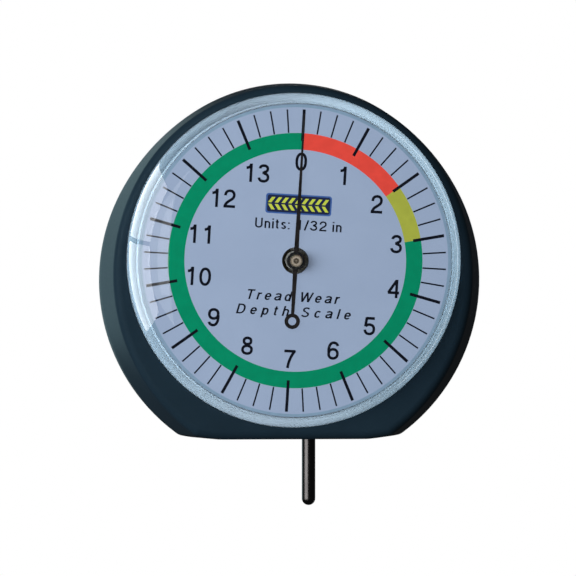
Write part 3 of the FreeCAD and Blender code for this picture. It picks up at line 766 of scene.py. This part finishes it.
def tube(path, radius):
    """Points and faces of a round wire along a path."""
    sides = WIRE_SIDES
    points = []
    up = Vector((0, 1, 0))
    for k, here in enumerate(path):
        along = (path[min(k + 1, len(path) - 1)] - path[max(k - 1, 0)]).normalized()
        across = along.cross(up).normalized()
        up = across.cross(along).normalized()
        for j in range(sides):
            angle = 2 * math.pi * j / sides
            points.append(here + (across * math.cos(angle) + up * math.sin(angle)) * radius)
    faces = []
    for k in range(len(path) - 1):
        for j in range(sides):
            a = k * sides + j
            b = k * sides + (j + 1) % sides
            faces.append((a, b, b + sides, a + sides))
    faces.append(range(sides - 1, -1, -1))
    faces.append(range(len(points) - sides, len(points)))
    return points, faces


def return_spring():
    """Coil with two eyes that stretches between the case's post and the probe's pin."""
    low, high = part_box("return_spring")
    x = (low.x + high.x) / 2
    wire = SPRING_WIRE_R * MM
    post_z = low.z + wire + SPRING_EYE_R * MM
    pin_z = high.z - wire - SPRING_EYE_R * MM
    path = []
    for k in range(EYE_STEPS - EYE_OPEN + 1):
        angle = 2 * math.pi * k / EYE_STEPS
        path.append(Vector((x + SPRING_EYE_R * MM * math.sin(angle), 0,
                            post_z + SPRING_EYE_R * MM * math.cos(angle))))
    start = post_z + SPRING_LEAD * MM
    height = pin_z - SPRING_LEAD * MM - start
    for k in range(SPRING_TURNS * COIL_STEPS + 1):
        angle = 2 * math.pi * k / COIL_STEPS
        path.append(Vector((x + SPRING_R * MM * math.cos(angle), SPRING_R * MM * math.sin(angle),
                            start + height * k / (SPRING_TURNS * COIL_STEPS))))
    for k in range(EYE_OPEN, EYE_STEPS):
        angle = 2 * math.pi * k / EYE_STEPS + math.pi
        path.append(Vector((x, SPRING_EYE_R * MM * math.sin(angle),
                            pin_z + SPRING_EYE_R * MM * math.cos(angle))))
    points, faces = tube(path, wire)
    spring = piece("return_spring_wire", points, faces, "spring_steel", body=None,
                   smooth=True)
    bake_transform(spring)
    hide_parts("return_spring")


# ---------------------------------------------------------------- stage, lights, camera

CAMERA_BACK = 0.9           # from the aim point to the camera
CAMERA_AZIMUTH = -4.3
CAMERA_ELEVATION = 1.6
AIM = DIAL + Vector((-1.15, 0, -4.4)) * MM
LENS = 349.9
SENSOR_WIDTH = 36.0
FLOOR_DROP = 0.054          # from the probe's tip down to the floor
FLOOR_R = 0.28
FLOOR_SIDES = 96
WORLD_FILL = 0.03           # what the white room adds to the softboxes
SIDE_CYAN = (0.62, 0.95, 1.0)
HOLE_BLUE = (0.42, 0.55, 1.0)   # makes the brass in the dial's hole look grey


def towards(azimuth, elevation):
    """Unit vector from the object; azimuth 0 is the front and positive is to the right."""
    a = math.radians(azimuth)
    e = math.radians(elevation)
    return Vector((math.sin(a) * math.cos(e), -math.cos(a) * math.cos(e), math.sin(e)))


def softbox(name, azimuth, elevation, distance, width, height, radiance, only=None,
            glossy=True, diffuse=True, colour=(1, 1, 1)):
    """Rectangular light that faces the dial; radiance is what a mirror would show of it."""
    light = bpy.data.lights.new(name, "AREA")
    light.shape = "RECTANGLE"
    light.size = width
    light.size_y = height
    light.energy = radiance * math.pi * width * height
    light.color = colour
    obj = bpy.data.objects.new(name, light)
    bpy.context.scene.collection.objects.link(obj)
    direction = towards(azimuth, elevation)
    obj.location = DIAL + direction * distance
    obj.rotation_mode = "QUATERNION"
    obj.rotation_quaternion = direction.to_track_quat("Z", "Y")
    obj.visible_camera = False
    obj.visible_transmission = False
    obj.visible_glossy = glossy
    obj.visible_diffuse = diffuse
    if only:
        obj.light_linking.receiver_collection = only
    return obj


def receivers(name, objects):
    """Collection that a light, or its shadow, is limited to."""
    chosen = bpy.data.collections.new(name)
    for obj in objects:
        chosen.objects.link(obj)
    return chosen


def lights(lens, bands, ground):
    """Studio lights; each call gives azimuth, elevation, distance, width, height and radiance."""
    nodes = frame["nodes"]
    glass = receivers("crystal_only", [lens])
    white_rim = receivers("rim_only", bands)
    rod = receivers("rod_only", [nodes["probe_rod"]])
    cap = receivers("cap_only", [nodes["pointer_cap"]])
    hole = receivers("hole_only", [nodes["front_arbor_bush"], nodes["movement_front_plate"]])
    floor_only = receivers("floor_only", [ground])
    blocking = [node for name, node in nodes.items() if name != "pointer"]
    past_pointer = receivers("all_but_pointer", blocking + [lens])
    softbox("floor_light", 0, 80, 1.2, 1.0, 1.0, 1.6, floor_only, glossy=False)
    softbox("glass_high", -96, 20.5, 0.267, 0.69, 0.126, 4.7, glass)
    softbox("glass_low", -96, -10.8, 0.252, 0.69, 0.146, 4.7, glass)
    softbox("glass_veil", -30, 2, 0.5, 0.30, 0.23, 1.4, glass)
    softbox("glass_veil_edge", -15.2, 0.7, 0.6, 0.042, 0.1415, 1.4, glass)
    softbox("glass_right", 124, 0, 0.5, 0.04, 0.9, 2.0, glass)
    softbox("rim_front", 25, -10, 0.3, 0.12, 0.12, 5.4, white_rim, glossy=False)
    softbox("rim_low", 50, -12, 0.3, 0.12, 0.12, 7.0, white_rim, glossy=False)
    softbox("rod_box", -46, 0, 0.6, 0.6, 0.5, 3.2, rod, diffuse=False)
    softbox("side_box", -145, 4, 0.6, 0.64, 0.4, 0.5, colour=SIDE_CYAN)
    key = softbox("key", -60, 4, 0.6, 0.36, 0.36, 8.2, glossy=False)
    fill = softbox("front_fill", -32, 14, 0.7, 0.9, 0.9, 2.65, glossy=False)
    for light in (key, fill):
        light.light_linking.blocker_collection = past_pointer
    softbox("hub_front", 5, -1, 0.5, 0.25, 0.25, 2.2, cap, diffuse=False)
    softbox("hole_left", -22, 0, 0.5, 0.15, 0.3, 22.0, hole, diffuse=False, colour=HOLE_BLUE)
    softbox("back_fill", 165, 35, 0.6, 0.4, 0.4, 3.0, glossy=False)
    softbox("back_card", 180, 0, 0.8, 0.2, 0.2, 2.0, diffuse=False)
    softbox("right_back_fill", 150, 10, 0.6, 0.3, 0.3, 1.5, glossy=False)


def world():
    """White for the camera, also straight through the crystal, and dim for everything else."""
    made = bpy.data.worlds.new("studio")
    bpy.context.scene.world = made
    made.use_nodes = True
    tree = made.node_tree
    tree.nodes.clear()
    seen = add(tree, "ShaderNodeBackground", color=(1, 1, 1, 1), strength=1.0)
    lit = add(tree, "ShaderNodeBackground", color=(0.9, 0.95, 1.0, 1), strength=WORLD_FILL)
    path = add(tree, "ShaderNodeLightPath")
    unmirrored = add(tree, "ShaderNodeMath", operation="LESS_THAN")
    unmirrored.inputs[1].default_value = 0.5
    through = add(tree, "ShaderNodeMath", operation="MULTIPLY")
    either = add(tree, "ShaderNodeMath", operation="MAXIMUM")
    mix = add(tree, "ShaderNodeMixShader")
    output = add(tree, "ShaderNodeOutputWorld")
    tree.links.new(path.outputs["Glossy Depth"], unmirrored.inputs[0])
    tree.links.new(unmirrored.outputs[0], through.inputs[0])
    tree.links.new(path.outputs["Is Transmission Ray"], through.inputs[1])
    tree.links.new(path.outputs["Is Camera Ray"], either.inputs[0])
    tree.links.new(through.outputs[0], either.inputs[1])
    tree.links.new(either.outputs[0], mix.inputs[0])
    tree.links.new(lit.outputs[0], mix.inputs[1])
    tree.links.new(seen.outputs[0], mix.inputs[2])
    tree.links.new(mix.outputs[0], output.inputs["Surface"])


def floor():
    """Round floor below the probe, which neither the crystal nor the case mirrors."""
    z = CAD_BOX[0].z - FLOOR_DROP
    points = []
    for k in range(FLOOR_SIDES):
        angle = 2 * math.pi * k / FLOOR_SIDES
        points.append((FLOOR_R * math.cos(angle), FLOOR_R * math.sin(angle), z))
    mesh = bpy.data.meshes.new("floor")
    mesh.from_pydata(points, [], [range(FLOOR_SIDES)])
    obj = bpy.data.objects.new("floor", mesh)
    bpy.context.scene.collection.objects.link(obj)
    mesh.materials.append(floor_paint())
    obj.visible_glossy = False
    obj.visible_transmission = False
    obj.visible_diffuse = False
    return obj


def camera():
    """Camera that looks at the dial a little from the left and from above."""
    data = bpy.data.cameras.new("camera")
    data.lens = LENS
    data.sensor_width = SENSOR_WIDTH
    data.clip_start = 0.01
    data.clip_end = 10.0
    obj = bpy.data.objects.new("camera", data)
    bpy.context.scene.collection.objects.link(obj)
    back = towards(CAMERA_AZIMUTH, CAMERA_ELEVATION)
    obj.location = AIM + back * CAMERA_BACK
    obj.rotation_mode = "QUATERNION"
    obj.rotation_quaternion = back.to_track_quat("Z", "Y")
    bpy.context.scene.camera = obj


def tone():
    """Plain display transform, so that white stays white."""
    scene = bpy.context.scene
    scene.view_settings.view_transform = "Standard"
    scene.view_settings.look = "None"


dress_frame()
dial_print()
parting_line()
return_spring()
world()
lights(crystal_lens(), rim_bands(), floor())
camera()
tone()
